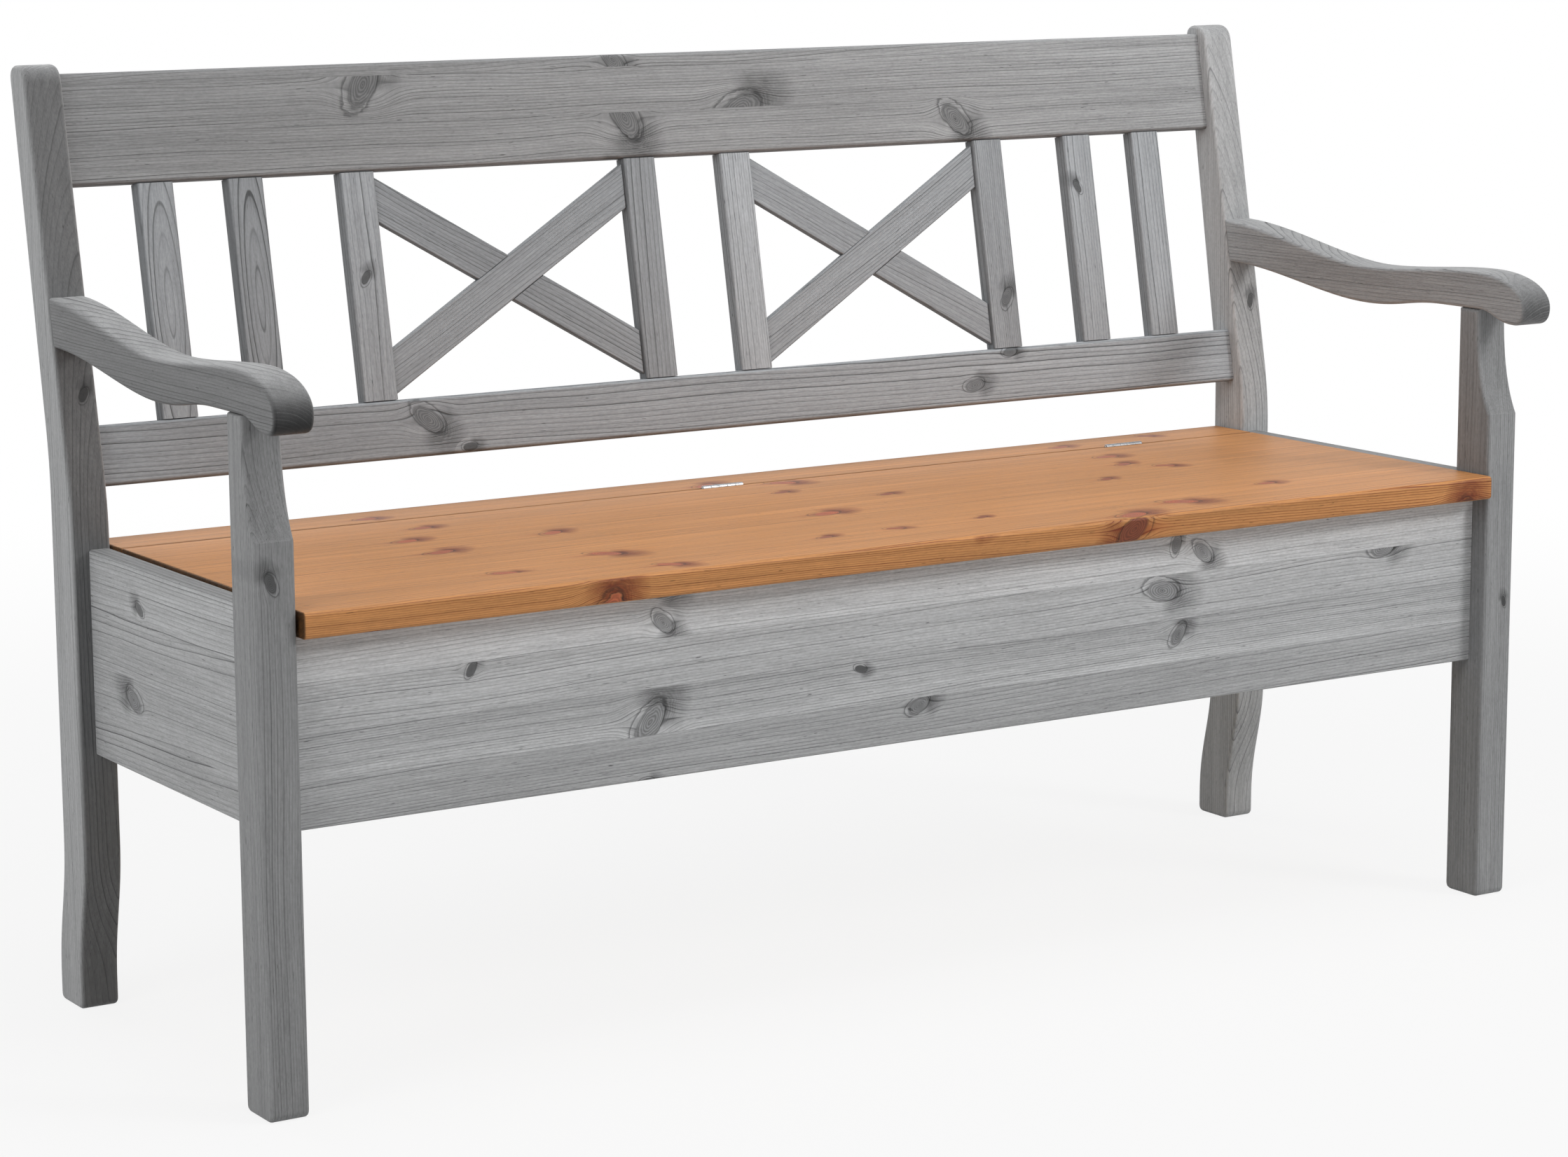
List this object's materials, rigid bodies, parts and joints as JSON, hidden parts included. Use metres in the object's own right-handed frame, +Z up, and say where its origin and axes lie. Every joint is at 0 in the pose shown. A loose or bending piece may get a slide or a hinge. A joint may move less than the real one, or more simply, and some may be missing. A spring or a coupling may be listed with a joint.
{
  "type": "settle bench",
  "caption": "Storage settle bench with a hinged lid seat, curved arms, sabre rear posts and a raked back of slats and crossed braces.",
  "frame": {"origin": "on the floor under the middle of the bench's overall width and depth", "axes": "+Z up; -Y towards the sitter's feet, where the lid's front edge and the arm noses are; +X along the seat, to the right as seen from the front"},
  "size_m": [1.5, 0.586, 0.938],
  "materials": {
    "grey_stained_pine": "grey wiping stain, matt, grain and knots showing through",
    "honey_stained_pine": "warm honey stain, satin",
    "bare_pine": "planed and unfinished",
    "beech_dowel": "turned and unfinished",
    "zinc_plated_steel": "bright zinc plating, satin"
  },
  "bodies": {
    "frame": {"rear_post_left": "grey_stained_pine", "rear_post_right": "grey_stained_pine", "front_post_left": "grey_stained_pine", "front_post_right": "grey_stained_pine", "arm_left": "grey_stained_pine", "arm_right": "grey_stained_pine", "arm_front_dowel_left": "beech_dowel", "arm_front_dowel_right": "beech_dowel", "arm_rear_dowel_left": "beech_dowel", "arm_rear_dowel_right": "beech_dowel", "top_rail": "grey_stained_pine", "lower_back_rail": "grey_stained_pine", "back_slat_1": "grey_stained_pine", "back_slat_2": "grey_stained_pine", "back_slat_3": "grey_stained_pine", "back_slat_4": "grey_stained_pine", "back_slat_5": "grey_stained_pine", "back_slat_6": "grey_stained_pine", "back_slat_7": "grey_stained_pine", "back_slat_8": "grey_stained_pine", "brace_rising_left": "grey_stained_pine", "brace_falling_left": "grey_stained_pine", "brace_rising_right": "grey_stained_pine", "brace_falling_right": "grey_stained_pine", "front_panel": "grey_stained_pine", "rear_panel": "grey_stained_pine", "side_panel_left": "grey_stained_pine", "side_panel_right": "grey_stained_pine", "bottom_board": "bare_pine", "bottom_cleat_front": "bare_pine", "bottom_cleat_rear": "bare_pine", "bottom_cleat_left": "bare_pine", "bottom_cleat_right": "bare_pine", "rear_seat_strip": "honey_stained_pine", "hinge_left_strip_leaf": "zinc_plated_steel", "hinge_left_pin": "zinc_plated_steel", "hinge_left_strip_screw_1": "zinc_plated_steel", "hinge_left_strip_screw_2": "zinc_plated_steel", "hinge_middle_strip_leaf": "zinc_plated_steel", "hinge_middle_pin": "zinc_plated_steel", "hinge_middle_strip_screw_1": "zinc_plated_steel", "hinge_middle_strip_screw_2": "zinc_plated_steel", "hinge_right_strip_leaf": "zinc_plated_steel", "hinge_right_pin": "zinc_plated_steel", "hinge_right_strip_screw_1": "zinc_plated_steel", "hinge_right_strip_screw_2": "zinc_plated_steel"},
    "lid": {"lid_panel": "honey_stained_pine", "lid_batten_left": "bare_pine", "lid_batten_right": "bare_pine", "hinge_left_lid_leaf": "zinc_plated_steel", "hinge_left_lid_screw_1": "zinc_plated_steel", "hinge_left_lid_screw_2": "zinc_plated_steel", "hinge_middle_lid_leaf": "zinc_plated_steel", "hinge_middle_lid_screw_1": "zinc_plated_steel", "hinge_middle_lid_screw_2": "zinc_plated_steel", "hinge_right_lid_leaf": "zinc_plated_steel", "hinge_right_lid_screw_1": "zinc_plated_steel", "hinge_right_lid_screw_2": "zinc_plated_steel"}
  },
  "joints": [
    {"name": "lid_hinge", "type": "hinge", "parent": "frame", "child": "lid", "pos_m": [-0.017, 0.15602, 0.472], "axis": [-1, 0, 0], "range_deg": [0, 104]}
  ]
}
